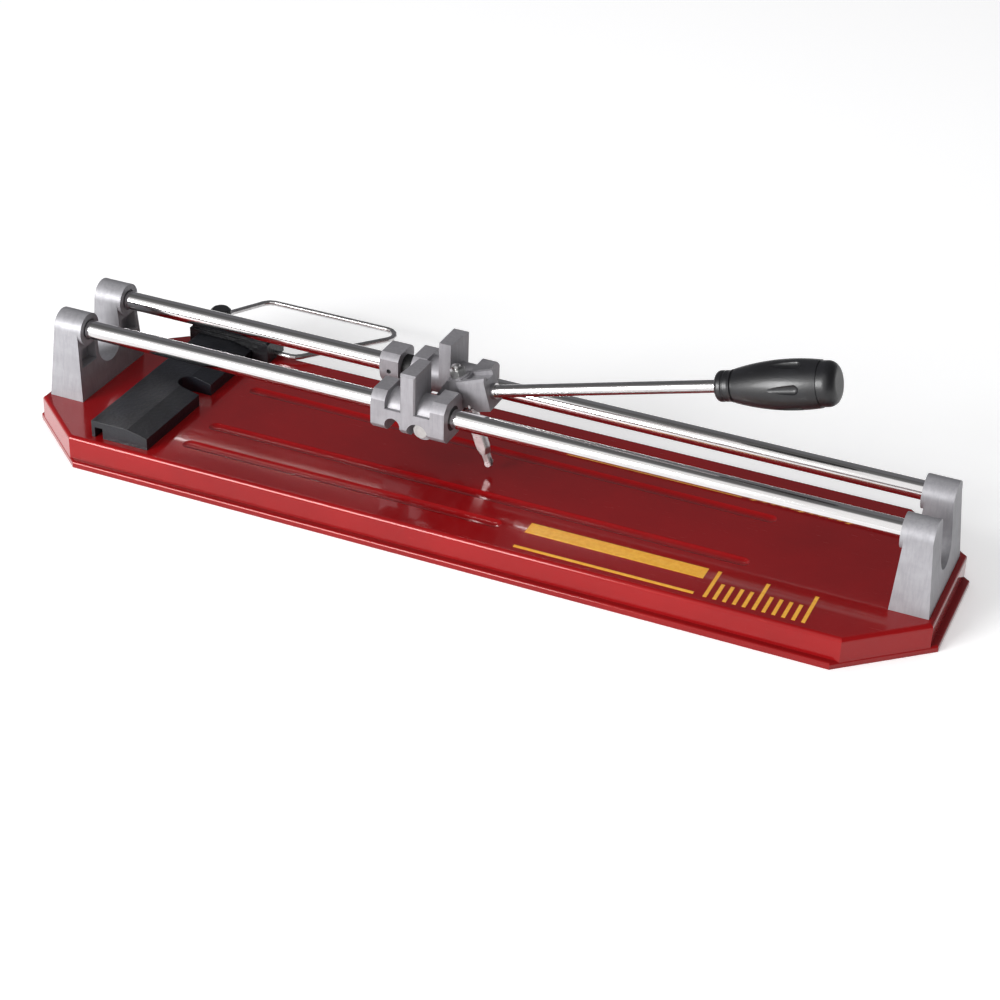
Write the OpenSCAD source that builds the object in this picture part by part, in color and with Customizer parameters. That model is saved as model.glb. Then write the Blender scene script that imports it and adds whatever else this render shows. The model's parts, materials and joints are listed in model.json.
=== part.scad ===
// Tile cutter: a pressed steel bed, two end brackets with twin rails, a sliding
// carriage with a scoring lever, and a side gauge that slides on the fence bar.
// Frame: origin at the centre of the bed's footprint on the floor, +X along the
// rails toward the grip end, +Y away from the operator, +Z up. Units are mm.

/* [Bed] */
// Overall length of the bed at its hem
bed_len = 650; // [500:1:900]
// Overall width of the bed at its hem
bed_wid = 177; // [150:1:260]
// Height of the bed surface above the floor
bed_h = 21; // [16:0.5:32]
// Thickness of the steel sheet
sheet_t = 1.2; // [0.8:0.1:2.5]
// Outer radius of the bend round the bed surface
bend_r = 3; // [2.6:0.1:5]
// Length of each corner cut, along X
corner_x = 47; // [30:1:60]
// Length of each corner cut, along Y
corner_y = 40; // [25:1:50]
// How far the hem stands out from the skirt
hem_out = 4.5; // [3:0.1:8]
// How far the hem stands out along the corner cuts
cut_hem = 0.4; // [0.2:0.1:6]
// Height of the hem
hem_h = 4.5; // [3:0.1:8]
// Outer radius of the hem's top edge
hem_r = 1.8; // [1.4:0.1:2.8]

/* [Bed grooves] */
// Width of a pressed groove
groove_w = 10; // [6:0.5:14]
// Depth of a pressed groove
groove_d = 1.5; // [0.8:0.1:2.5]
// Distance between neighbouring grooves
groove_pitch = 28.4; // [22:0.2:36]
// Length of the three long grooves
groove_len = 392; // [200:1:460]
// Length of the short front groove
short_groove_len = 236; // [100:1:380]

/* [Rails] */
// Diameter of a rail
rail_d = 13; // [10:0.5:16]
// Distance between the two rail axes
rail_gap = 50.6; // [48:0.2:60]
// Height of the rail axes above the bed surface
rail_up = 50.7; // [46:0.1:70]
// How deep a rail is seated in its bracket
rail_seat = 14; // [8:0.5:16]

/* [Brackets] */
// Distance from a bracket foot to the bed's nearer end
end_gap = 8.7; // [6:0.1:30]
// Thickness of a bracket along X at its foot
foot_t = 26; // [22:0.5:34]
// How far the inner side leans back at rail height
lean_in = 3.1; // [0:0.1:5]
// How far the outer side leans in at rail height
lean_out = 4.6; // [0:0.1:6]
// Width of the bracket foot along Y
foot_wid = 80; // [76:0.5:100]
// Wall of the barrel round a rail
barrel_wall = 5; // [4:0.1:7]
// Thickness of the web under the U opening, above the bed
web_h = 15; // [8:0.5:24]
// Depth of the cast recess in each outer face
recess_d = 9; // [4:0.5:14]
// Width of the wall round each cast recess
recess_wall = 3.4; // [2.5:0.1:5]

/* [Bracket fasteners] */
// Diameter of a bracket screw
foot_screw_d = 6; // [5:0.5:8]
// Distance between the two screws of a bracket
foot_screw_gap = 52; // [44:1:60]
// How far a bracket screw reaches into the foot
foot_screw_in = 16; // [10:0.5:24]
// Diameter of a rail grub screw
grub_d = 5; // [4:0.5:6]

/* [Fence bar] */
// Distance from the left bracket foot to the fence bar
fence_off = 31; // [20:0.5:60]
// Width of the fence bar along X
fence_wid = 43.2; // [30:0.2:60]
// Width of the flat part of the fence bar's top
fence_flat = 28; // [18:0.5:40]
// Height of the fence bar above the bed
fence_h = 12.3; // [8:0.1:16]
// Height of the fence bar's working edge above the bed
fence_edge_h = 8.6; // [5:0.1:14]
// Distance from the fence bar's front end to the edge of the bed surface
fence_gap_front = 7; // [4:0.5:20]
// Distance from the fence bar's rear end to the edge of the bed surface
fence_gap_rear = 8; // [4:0.5:20]
// Width of the notch that lets the wheel pass
notch_wid = 16; // [12:0.5:24]
// Length of the notch along X
notch_len = 20; // [10:0.5:26]
// Diameter of a fence screw
fence_screw_d = 5; // [4:0.5:6]

/* [Side gauge] */
// Thickness of the gauge block over the fence bar
gauge_roof = 5.1; // [4:0.1:9]
// Size of the gauge block along Y
gauge_y = 24; // [16:0.5:34]
// Gap between the gauge block and the fence bar
gauge_gap = 0.4; // [0.3:0.05:1]
// Size of the block's right lug along X
gauge_lug = 13; // [8:0.5:20]
// Thickness of the block's left wall
gauge_wall = 7; // [6:0.1:12]
// Diameter of the gauge wire
wire_d = 4; // [3:0.1:6]
// Height of the wire axis above the bed
wire_up = 4; // [3.2:0.1:8]
// Bend radius of the wire
wire_r = 9; // [6:0.5:14]
// How far the wire frame reaches behind the block
wire_out = 58; // [30:1:90]
// Reach of the wire frame's far corner along X
wire_rear = 136; // [90:1:150]
// Diameter of the clamp knob
knob_d = 15; // [12:0.5:24]
// Height of the clamp knob
knob_h = 11; // [8:0.5:16]
// Diameter of the knob's threaded stud
knob_stud_d = 5; // [4:0.5:6]

/* [Carriage] */
// Middle of the carriage along X, as shown
carriage_x = -40.4; // [-240:0.2:240]
// Length of a slider along the rail
slider_len = 53; // [44:0.5:70]
// Wall of a slider's collars round their bushes
slider_wall = 6; // [5:0.1:8]
// Wall of a slider's tube between its collars
tube_wall = 3.8; // [2:0.1:5]
// Height of the slider's front ledge above the rail axis
ledge_up = 3.4; // [0:0.1:5]
// Length of each collar at a slider's ends
collar_len = 10.2; // [8:0.1:14]
// Thickness of the upright fin along X
fin_t = 10.8; // [8:0.1:14]
// Height of the fin above the rail axis
fin_up = 32; // [24:0.5:44]
// Depth of the fin along Y
fin_deep = 25.3; // [20:0.1:28]
// How much narrower the fin is at its inner edge
fin_taper = 2.2; // [0:0.1:4]
// How far the rear slider sits to the right of the front one
rear_shift = 4.4; // [0:0.1:6]
// Gap between the rear slider and its end ring
ring_gap = 10; // [6:0.1:14]
// Length of the end ring at the left of the rear slider
ring_len = 14; // [10:0.1:20]
// Wall of the end ring round its bush
ring_wall = 4; // [3:0.1:6]
// Wall of a slide bush
bush_wall = 2; // [1.5:0.1:3]
// Diameter of the hole for the rail bush peg
peg_d = 3.4; // [2:0.1:5]
// Thickness of a thrust washer beside the lever hub
washer_t = 1; // [0.6:0.1:2]
// Diameter of the pivot bolt
pivot_d = 6; // [5:0.5:7]
// Distance of the pivot ahead of the carriage's middle
pivot_fwd = 7.1; // [4:0.1:10]
// Gap between a rail and the pivot bolt under it
pivot_clear = 0.8; // [0.5:0.1:3]

/* [Lever] */
// Angle of the lever above level, as shown
lever_tilt = 15.4; // [0:0.2:40]
// Distance of the lever rod's axis from the pivot
rod_up = 11.7; // [8:0.1:16]
// Diameter of the lever rod
rod_d = 8.4; // [7:0.1:11]
// Distance from the pivot to the head's far face
head_reach = 41; // [36:0.5:50]
// Gap between the lever head and a slider's inner side
head_gap = 1.1; // [0.8:0.1:3]
// Distance from the pivot to the start of the grip
grip_start = 200; // [150:1:260]
// Length of the grip with its end cap
grip_len = 80; // [65:1:120]
// Largest diameter of the grip
grip_d = 32.4; // [26:0.2:40]
// Diameter of the grip at its neck
grip_neck_d = 20; // [16:0.2:24]

/* [Scoring stem] */
// Lean of the stem from the square of the lever
stem_lean = 5.5; // [0:0.1:8]
// Distance from the pivot to the stem where it crosses the rod axis
stem_fwd = 19.9; // [17:0.1:24]
// Diameter of the threaded upper part of the stem
stem_d = 6; // [5:0.5:8]
// Diameter of the tool holder at the stem's foot
holder_d = 9.6; // [8:0.1:12]
// Width of the tool holder across its flats
holder_flat = 7.4; // [6:0.1:9]
// Length of the tool holder
holder_len = 34; // [20:0.5:36]
// Diameter of the scoring wheel
wheel_d = 6; // [5:0.1:8]
// Thickness of the scoring wheel
wheel_t = 1.2; // [0.8:0.1:2]
// Gap between the wheel's edge and the bed, as shown
wheel_gap = 4.6; // [1:0.1:10]

/* [Label] */
// Distance of the label's left end from the bed's middle line
label_x = 53; // [-100:1:120]
// Length of the label's bars
bar_len = 122; // [40:1:150]
// Width of the label's broad bar
bar_wid = 12; // [4:0.5:20]
// Width of the label's narrow rule
rule_wid = 2.4; // [1:0.1:6]
// Number of measuring ticks
ticks = 11; // [0:1:16]
// Distance between neighbouring ticks
tick_pitch = 6.4; // [4:0.1:12]
// Length of a short tick
tick_len = 18; // [8:0.5:30]
// Thickness of a tick's line
tick_t = 2.4; // [1:0.1:3]
// Width of the label along Y
label_wid = 31; // [16:0.5:40]
// Distance from the bed surface's front edge to the label
label_in = 7; // [4:0.5:20]
// Thickness of the label
label_t = 0.2; // [0.1:0.05:0.5]

/* [Fits] */
// Radial running clearance of turning and sliding round parts
run_c = 0.05; // [0.02:0.01:0.1]
// Radial interference of pressed and threaded parts
press_c = 0.02; // [0.01:0.01:0.05]
// Clearance between parts that only pass each other
pass_c = 0.4; // [0.3:0.05:1]

/* [Hidden] */
$fn = 64;
eps = 0.01;
top_len = bed_len - 2 * hem_out;
top_wid = bed_wid - 2 * hem_out;
rail_z = bed_h + rail_up;
rail_y = rail_gap / 2;
foot_x = bed_len / 2 - end_gap - foot_t;
mouth_x = foot_x + 0.3;
rail_len = 2 * (mouth_x + rail_seat);
corner_a = atan2(corner_x, corner_y);
corner_off = cos(corner_a) * top_len / 2 + sin(corner_a) * (top_wid / 2 - corner_y);
groove_r = (pow(groove_w / 2, 2) + pow(groove_d, 2)) / (2 * groove_d);
barrel_r = rail_d / 2 + barrel_wall;
post_gap = 2 * (rail_y - barrel_r);
fence_front = top_wid / 2 - fence_gap_front;
fence_rear = top_wid / 2 - fence_gap_rear;
fence_x0 = -foot_x + fence_off;
fence_x1 = fence_x0 + fence_wid;
fence_z = bed_h + fence_h;
gauge_h = fence_h + gauge_roof;
gauge_y0 = fence_rear - 10;
gauge_x0 = fence_x0 - gauge_gap - gauge_wall;
gauge_x1 = fence_x1 + gauge_gap + gauge_lug;
gauge_z = bed_h + gauge_h;
knob_x = fence_x0 + 12;
knob_y = gauge_y0 + gauge_y / 2;
wire_x = gauge_x1 - gauge_lug / 2;
wire_x0 = gauge_x0 + gauge_wall / 2;
wire_y = gauge_y0 + gauge_y;
pivot_x = carriage_x + pivot_fwd;
pivot_z = rail_z - rail_d / 2 - pivot_d / 2 - pivot_clear;
bush_d = rail_d + 2 * bush_wall;
slider_d = bush_d + 2 * slider_wall;
slider_r = slider_d / 2;
corner_d = slider_d + 5.2;
tube_r = bush_d / 2 + tube_wall;
ring_d = bush_d + 2 * ring_wall;
ring_x = -slider_len / 2 - ring_gap - ring_len;
collar_in = slider_len / 2 - collar_len;
inner_y = rail_y - slider_r;
outer_y = rail_y + slider_r;
head_wid = 2 * (inner_y - head_gap);
lug_r = 8.4;
lug_y = outer_y - 9.8;
bolt_head_h = 4;
bolt_flats = 10;
hub_w = 2 * (inner_y - washer_t - 0.3);
arm_w = 14;
head_low = rod_up - 10.2;
head_top = rod_up + 12.8;
body_in = stem_fwd + 2.6;
rod_in = stem_fwd + holder_d / 2 + 1.6;
rod_out = grip_start + grip_len - 18;
stem_top = 19.6;
boss_top = head_top - 0.4;
nut_flats = 10;
nut_h = 5;
cap_len = 11;
grip_r = grip_d / 2;
belly_at = grip_len * 0.64;
belly_r = (pow(belly_at - 9, 2) + pow(grip_r - grip_neck_d / 2, 2)) / (2 * (grip_r - grip_neck_d / 2));
cap_r = grip_r - belly_r + sqrt(pow(belly_r, 2) - pow(grip_len - cap_len - belly_at, 2));
stem_a = lever_tilt + stem_lean;
stem_x = pivot_x + stem_fwd * cos(lever_tilt) - rod_up * sin(lever_tilt);
stem_z = pivot_z + stem_fwd * sin(lever_tilt) + rod_up * cos(lever_tilt);
wheel_z = bed_h + wheel_gap + wheel_d / 2;
stem_foot = (stem_z - wheel_z) / cos(stem_a);
wheel_x = stem_x + stem_foot * sin(stem_a);
fork_len = wheel_d / 2 + 4.4;
axle_d = 1.6;

// ---------- helpers ----------

// A bar along X, centred in plan, with its two long top edges rounded.
module round_bar(l, w, h, r) {
  translate([-l / 2, -w / 2 + r, 0]) cube([l, w - 2 * r, h]);
  translate([-l / 2, -w / 2, 0]) cube([l, w, h - r]);
  for (s = [-1, 1])
    translate([-l / 2, s * (w / 2 - r), h - r]) rotate([0, 90, 0]) cylinder(r = r, h = l);
}

// The bed's eight-sided outline with a rounded top edge, grown outward by grow on its
// four straight sides and by cut_grow on its four corner cuts.
module octagon_body(grow, h, r, cut_grow) {
  far = bed_len;
  intersection() {
    round_bar(far, top_wid + 2 * grow, h, r);
    rotate([0, 0, 90]) round_bar(far, top_len + 2 * grow, h, r);
    rotate([0, 0, corner_a - 90]) round_bar(far, 2 * (corner_off + cut_grow), h, r);
    rotate([0, 0, 90 - corner_a]) round_bar(far, 2 * (corner_off + cut_grow), h, r);
  }
}

// A long round-ended groove cutter from x0 to x1, with its lowest line at z = 0.
module groove(x0, x1, r) {
  inset = groove_w / 2;
  translate([x0 + inset, 0, r]) {
    rotate([0, 90, 0]) cylinder(r = r, h = x1 - x0 - 2 * inset, $fn = 96);
    sphere(r = r, $fn = 96);
  }
  translate([x1 - inset, 0, r]) sphere(r = r, $fn = 96);
}

// Every groove of the bed, made with cutters of radius r sunk to depth d.
module grooves(r, d) {
  translate([0, 0, bed_h - d]) {
    for (y = [-1, 1, 2])
      translate([0, y * groove_pitch, 0]) groove(-groove_len / 2, groove_len / 2, r);
    translate([0, -2 * groove_pitch, 0])
      groove(-groove_len / 2 - 4, short_groove_len - groove_len / 2 - 4, r);
  }
}

// A hexagonal prism across flats f and height h.
module hex(f, h) {
  cylinder(d = f / cos(30), h = h, $fn = 6);
}

// Places children in the lever's own frame: origin at the pivot, X along the rod.
module at_lever() {
  translate([pivot_x, 0, pivot_z]) rotate([0, -lever_tilt, 0]) children();
}

// Places children on the stem's axis: origin where it crosses the rod, Z up the stem.
module at_stem() {
  translate([stem_x, 0, stem_z]) rotate([0, -stem_a, 0]) children();
}

// Places children on the stem's axis with the origin at the scoring wheel.
module at_wheel() {
  translate([wheel_x, 0, wheel_z]) rotate([0, -stem_a, 0]) children();
}

// A plate of the given outline in X and Z, centred on Y.
module plate(w, points) {
  translate([0, w / 2, 0]) rotate([90, 0, 0]) linear_extrude(w) polygon(points);
}

// ---------- bed ----------

module bed_tray() {
  color([0.56, 0.09, 0.10])
  difference() {
    union() {
      octagon_body(0, bed_h, bend_r, 0);
      octagon_body(hem_out, hem_h, hem_r, cut_hem);
    }
    translate([0, 0, -eps]) difference() {
      octagon_body(-sheet_t, bed_h - sheet_t + eps, bend_r - sheet_t, -sheet_t);
      grooves(groove_r + sheet_t, groove_d + sheet_t);
    }
    translate([0, 0, -eps])
      octagon_body(hem_out - sheet_t, hem_h - sheet_t + eps, hem_r - sheet_t / 2,
        cut_hem - sheet_t);
    grooves(groove_r, groove_d);
    for (s = [-1, 1], t = [-1, 1])
      translate([s * (foot_x + foot_t / 2), t * foot_screw_gap / 2, 0])
        cylinder(d = foot_screw_d + 0.4, h = bed_h + 1);
    for (t = [-1, 1])
      translate([fence_x0 + 17, t * fence_front * 0.7, 0])
        cylinder(d = fence_screw_d + 0.4, h = bed_h + 1);
  }
}

// ---------- brackets and rails ----------

// One bracket at the right-hand end; the left one is its mirror image.
module bracket_body() {
  half = foot_wid / 2;
  waist = rail_y + barrel_r;
  recess_y0 = post_gap / 2 + recess_wall;
  difference() {
    union() {
      intersection() {
        translate([foot_x, 0, bed_h]) rotate([90, 0, 90]) linear_extrude(foot_t)
          polygon([[-half, 0], [half, 0], [waist, rail_up], [-waist, rail_up]]);
        plate(foot_wid + 2, [[foot_x, bed_h], [foot_x + foot_t, bed_h],
          [foot_x + foot_t - lean_out, rail_z], [foot_x + lean_in, rail_z]]);
      }
      for (s = [-1, 1])
        translate([mouth_x, s * rail_y, rail_z]) rotate([0, 90, 0])
          cylinder(r = barrel_r, h = foot_t - lean_out - 0.3);
    }
    translate([foot_x - 1, 0, bed_h + web_h + post_gap / 2]) {
      rotate([0, 90, 0]) cylinder(d = post_gap, h = foot_t + 2);
      translate([0, -post_gap / 2, 0]) cube([foot_t + 2, post_gap, rail_up + 20]);
    }
    for (s = [-1, 1]) {
      translate([mouth_x - eps, s * rail_y, rail_z]) rotate([0, 90, 0])
        cylinder(r = rail_d / 2 - press_c, h = rail_seat + eps);
      translate([mouth_x - eps, s * rail_y, rail_z]) rotate([0, 90, 0])
        cylinder(d = rail_d + 2, h = 1.2);
      translate([foot_x + foot_t / 2, s * foot_screw_gap / 2, bed_h - eps])
        cylinder(d = foot_screw_d - 2 * press_c, h = foot_screw_in + 1);
      translate([mouth_x + rail_seat * 0.6, s * rail_y, rail_z]) rotate([-90, 0, 0])
        cylinder(d = grub_d - 2 * press_c, h = barrel_r + 1);
    }
    intersection() {
      for (s = [-1, 1])
        translate([foot_x - 1, s > 0 ? recess_y0 : -half + recess_wall, bed_h + 24])
          cube([recess_d + 1, half - recess_wall - recess_y0, rail_up - 24 - barrel_r - 1.5]);
      translate([foot_x - 2, 0, bed_h]) rotate([90, 0, 90]) linear_extrude(foot_t)
        polygon([[-half + recess_wall, 0], [half - recess_wall, 0],
          [waist - recess_wall, rail_up], [-waist + recess_wall, rail_up]]);
    }
  }
}

module right_bracket() {
  color([0.66, 0.65, 0.68]) bracket_body();
}

module left_bracket() {
  color([0.66, 0.65, 0.68]) mirror([1, 0, 0]) bracket_body();
}

module bracket_washers() {
  color([0.62, 0.62, 0.60])
  for (s = [-1, 1], t = [-1, 1])
    translate([s * (foot_x + foot_t / 2), t * foot_screw_gap / 2, bed_h - sheet_t - 1.6])
      difference() {
        cylinder(d = foot_screw_d * 2, h = 1.6);
        translate([0, 0, -1]) cylinder(d = foot_screw_d + 0.4, h = 4);
      }
}

module bracket_screws() {
  color([0.70, 0.70, 0.68])
  for (s = [-1, 1], t = [-1, 1])
    translate([s * (foot_x + foot_t / 2), t * foot_screw_gap / 2, bed_h - sheet_t - 1.6]) {
      translate([0, 0, -foot_screw_d * 0.65]) difference() {
        hex(foot_screw_d * 1.67, foot_screw_d * 0.65);
        translate([0, 0, -1]) cylinder(d = foot_screw_d * 0.7, h = 1.8);
      }
      cylinder(d = foot_screw_d, h = foot_screw_in + sheet_t + 1.6);
    }
}

// One rail, with a small chamfer at each end.
module rail(y) {
  c = 0.8;
  translate([-rail_len / 2, y, rail_z]) rotate([0, 90, 0]) {
    translate([0, 0, c]) cylinder(d = rail_d, h = rail_len - 2 * c);
    cylinder(d1 = rail_d - 2 * c, d2 = rail_d, h = c);
    translate([0, 0, rail_len - c]) cylinder(d1 = rail_d, d2 = rail_d - 2 * c, h = c);
  }
}

module front_rail() {
  color([0.80, 0.80, 0.82]) rail(-rail_y);
}

module rear_rail() {
  color([0.80, 0.80, 0.82]) rail(rail_y);
}

module rail_grubs() {
  tip = rail_d / 2;
  color([0.25, 0.25, 0.26])
  for (u = [-1, 1], s = [-1, 1])
    translate([u * (mouth_x + rail_seat * 0.6), s * rail_y, rail_z]) rotate([-90, 0, 0])
      translate([0, 0, tip]) difference() {
        cylinder(d = grub_d, h = barrel_r - tip - 0.3);
        translate([0, 0, 1.6]) hex(grub_d / 2, barrel_r);
      }
}

// ---------- fence bar and side gauge ----------

module fence_bar() {
  leg = 2.6;
  color([0.13, 0.13, 0.15])
  difference() {
    translate([0, (fence_rear - fence_front) / 2, 0])
      plate(fence_front + fence_rear, [[fence_x0, bed_h], [fence_x0, fence_z],
        [fence_x0 + fence_flat, fence_z], [fence_x1, bed_h + fence_edge_h],
        [fence_x1, bed_h]]);
    translate([fence_x0 + leg, -fence_front - 1, bed_h - 1])
      cube([6, fence_front + fence_rear + 2, fence_h - 3.5]);
    translate([fence_x1 - notch_len + notch_wid / 2, 0, bed_h - 1]) {
      cylinder(d = notch_wid, h = fence_h + 2);
      translate([0, -notch_wid / 2, 0]) cube([notch_len, notch_wid, fence_h + 2]);
    }
    for (t = [-1, 1])
      translate([fence_x0 + 17, t * fence_front * 0.7, bed_h - 1])
        cylinder(d = fence_screw_d - 2 * press_c, h = 10);
  }
}

module fence_screws() {
  color([0.70, 0.70, 0.68])
  for (t = [-1, 1])
    translate([fence_x0 + 17, t * fence_front * 0.7, bed_h - sheet_t]) {
      translate([0, 0, -fence_screw_d * 0.6]) difference() {
        cylinder(d = fence_screw_d * 2, h = fence_screw_d * 0.6);
        for (a = [0, 90]) rotate([0, 0, a])
          translate([0, 0, 0.4]) cube([fence_screw_d, 1, 2.4], center = true);
      }
      cylinder(d = fence_screw_d, h = 9);
    }
}

// Profile of the tunnel under the gauge block, the fence bar's own shape plus a gap.
module fence_tunnel() {
  g = gauge_gap;
  translate([0, gauge_y0 + gauge_y / 2, 0])
    plate(gauge_y + 2, [[fence_x0 - g, 0], [fence_x0 - g, fence_z + g],
      [fence_x0 + fence_flat + g / 2, fence_z + g], [fence_x1 + g, bed_h + fence_edge_h + g],
      [fence_x1 + g, 0]]);
}

module gauge_block() {
  foot = bed_h + gauge_gap;
  color([0.12, 0.12, 0.13])
  difference() {
    union() {
      translate([gauge_x0, gauge_y0, foot])
        cube([gauge_x1 - gauge_x0, gauge_y, gauge_z - foot - 2]);
      translate([gauge_x0 + 1.6, gauge_y0 + 1.6, foot])
        cube([gauge_x1 - gauge_x0 - 3.2, gauge_y - 3.2, gauge_z - foot]);
      translate([knob_x, knob_y, gauge_z - eps]) cylinder(d = knob_d - 3, h = 1.2);
    }
    fence_tunnel();
    translate([knob_x, knob_y, bed_h]) cylinder(d = knob_stud_d + 2 * run_c, h = 40);
    translate([wire_x, gauge_y0 + gauge_y / 2, bed_h + wire_up]) rotate([0, 90, 0])
      cylinder(d = wire_d - 2 * press_c, h = gauge_lug);
    translate([wire_x0, gauge_y0 + gauge_y / 2, bed_h + wire_up]) rotate([-90, 0, 0])
      cylinder(d = wire_d - 2 * press_c, h = gauge_y);
    translate([wire_x, gauge_y0 + gauge_y / 2, gauge_z + 1]) rotate([180, 0, 0])
      translate([-0.5, 0, 0]) cylinder(d = 4 - 2 * press_c, h = gauge_h - wire_up);
    for (k = [0:5])
      translate([fence_x0 + fence_flat + 2, gauge_y0 + 3.5 + k * 3.4, gauge_z - 0.6])
        cube([10, 1, 2]);
  }
}

function unit(v) = v / norm(v);
function turn(a, b, c) = acos(unit(b - a) * unit(c - b));
function bite(a, b, c) = wire_r * tan(turn(a, b, c) / 2);
function side(a, b, c) = sign(cross(unit(b - a), unit(c - b)));

// The plan points of the bend at b, from its start to its end.
function bend_points(a, b, c) =
  let(s = side(a, b, c), u = unit(b - a), p = b - bite(a, b, c) * u,
    m = p + s * wire_r * [-u[1], u[0]], a0 = atan2(p[1] - m[1], p[0] - m[0]),
    t = turn(a, b, c), n = ceil(t / 30))
  [for (k = [0:n]) m + wire_r * [cos(a0 + s * t * k / n), sin(a0 + s * t * k / n)]];

// A wire bent through a list of plan points, swept as one many-sided tube.
module bent_wire(p) {
  sides = 16;
  n = len(p);
  q = concat([p[0]], [for (i = [1:n - 2]) each bend_points(p[i - 1], p[i], p[i + 1])],
    [p[n - 1]]);
  last = len(q) - 1;
  from = [for (i = [0:last]) unit(i > 0 ? q[i] - q[i - 1] : q[1] - q[0])];
  to = [for (i = [0:last]) unit(i < last ? q[i + 1] - q[i] : q[last] - q[last - 1])];
  rings = [for (i = [0:last], k = [0:sides - 1])
    let(m = unit(from[i] + to[i]), w = wire_d / 2 / (m * to[i]), a = 360 * k / sides)
      [q[i][0] - m[1] * w * cos(a), q[i][1] + m[0] * w * cos(a), wire_d / 2 * sin(a)]];
  walls = [for (i = [0:last - 1], k = [0:sides - 1])
    let(a = i * sides + k, b = i * sides + (k + 1) % sides)
      [a, a + sides, b + sides, b]];
  start = [for (k = [0:sides - 1]) k];
  end = [for (k = [sides - 1:-1:0]) last * sides + k];
  polyhedron(rings, concat(walls, [start, end]), convexity = 6);
}

module gauge_wire() {
  y1 = gauge_y0 + gauge_y / 2;
  y2 = wire_y + wire_out;
  p = [[wire_x + 0.5, y1], [gauge_x1 + wire_r + 7, y1], [wire_x0 + wire_rear, y2],
    [wire_x0 + 17, y2], [wire_x0, wire_y + wire_out / 2], [wire_x0, y1]];
  color([0.78, 0.78, 0.77])
  translate([0, 0, bed_h + wire_up])
    bent_wire(p);
}

module gauge_wire_grub() {
  color([0.75, 0.75, 0.74])
  translate([wire_x - 0.5, gauge_y0 + gauge_y / 2, 0]) difference() {
    translate([0, 0, bed_h + wire_up + wire_d / 2 - 0.02])
      cylinder(d = 4, h = gauge_h - wire_up - wire_d / 2 - 0.4);
    translate([0, 0, gauge_z - 2]) hex(2, 4);
  }
}

module gauge_knob() {
  color([0.09, 0.09, 0.10])
  translate([knob_x, knob_y, 0]) {
    translate([0, 0, gauge_z + 1.6]) difference() {
      union() {
        cylinder(d = knob_d, h = knob_h - 1.5);
        translate([0, 0, knob_h - 1.5]) cylinder(d1 = knob_d, d2 = knob_d - 3, h = 1.5);
      }
      for (k = [0:11]) rotate([0, 0, 30 * k])
        translate([knob_d / 2 + 0.7, 0, -1]) cylinder(d = 2.6, h = knob_h + 2, $fn = 24);
    }
    translate([0, 0, fence_z + gauge_gap])
      cylinder(d = knob_stud_d, h = gauge_z + 1.6 + eps - fence_z - gauge_gap);
  }
}

// ---------- carriage ----------

// A squared ring blank round the rail axis, from x0 to x1, with rounded corners.
module ring_blank(x0, x1, d) {
  translate([x0, -rail_y, rail_z]) intersection() {
    translate([0, -d / 2, -d / 2]) cube([x1 - x0, d, d]);
    rotate([0, 90, 0]) cylinder(d = d + corner_d - slider_d, h = x1 - x0);
  }
}

// The upright fin: narrower at its inner edge, with its outer top edge cut back.
module fin() {
  back = -outer_y + fin_deep;
  edge = 1;
  intersection() {
    translate([0, 0, rail_z]) linear_extrude(fin_up)
      polygon([[-fin_t / 2, edge - outer_y], [edge - fin_t / 2, -outer_y],
        [fin_t / 2 - edge, -outer_y], [fin_t / 2, edge - outer_y],
        [fin_t / 2, back], [fin_taper - fin_t / 2, back]]);
    translate([-fin_t, 0, rail_z]) rotate([90, 0, 90]) linear_extrude(2 * fin_t)
      polygon([[-outer_y, 0], [-outer_y, fin_up - 1.6], [1.6 - outer_y, fin_up],
        [back, fin_up], [back, 0]]);
  }
}

// A slider's casting on the front rail, with the pivot fwd of its middle. Its fin sits
// at the outer edge, or at the inner edge and turned about when inward is true.
module slider_body(fwd, inward) {
  half = slider_len / 2;
  win = collar_in - fin_t / 2;
  difference() {
    union() {
      ring_blank(-half, -collar_in, slider_d);
      ring_blank(collar_in, half, slider_d);
      translate([1 - half, -rail_y, rail_z]) rotate([0, 90, 0])
        cylinder(r = tube_r, h = slider_len - 2);
      intersection() {
        ring_blank(1 - half, half - 1, slider_d);
        translate([-half, -outer_y - 1, rail_z - slider_d])
          cube([slider_len, slider_r + 1, slider_d + ledge_up]);
      }
      if (inward) translate([0, slider_d - fin_deep, 0]) mirror([1, 0, 0]) fin();
      else fin();
      translate([fwd, -inner_y, pivot_z]) rotate([90, 0, 0])
        cylinder(r = lug_r, h = lug_y - inner_y);
    }
    translate([-slider_len, -rail_y, rail_z]) rotate([0, 90, 0])
      cylinder(d = bush_d - 2 * press_c, h = 2 * slider_len);
    translate([-fin_t / 2 - win / 2, -outer_y - 1, 0]) {
      translate([0, 0, rail_z - 8]) rotate([-90, 0, 0]) cylinder(d = win, h = slider_r + 1);
      translate([-win / 2, 0, rail_z - slider_d]) cube([win, slider_r + 1, slider_d - 8]);
    }
    translate([fwd, -lug_y, pivot_z]) rotate([90, 0, 0])
      cylinder(r = lug_r - 0.8, h = slider_d);
    translate([fwd, 0, pivot_z]) rotate([90, 0, 0])
      cylinder(d = pivot_d - 2 * press_c, h = slider_d * 2);
  }
}

module front_slider() {
  color([0.68, 0.67, 0.70])
  translate([carriage_x, 0, 0]) difference() {
    slider_body(pivot_fwd, false);
    translate([-collar_in - collar_len / 2, -rail_y, rail_z]) rotate([-90, 0, 0])
      cylinder(d = peg_d - 2 * press_c, h = slider_d);
  }
}

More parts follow.
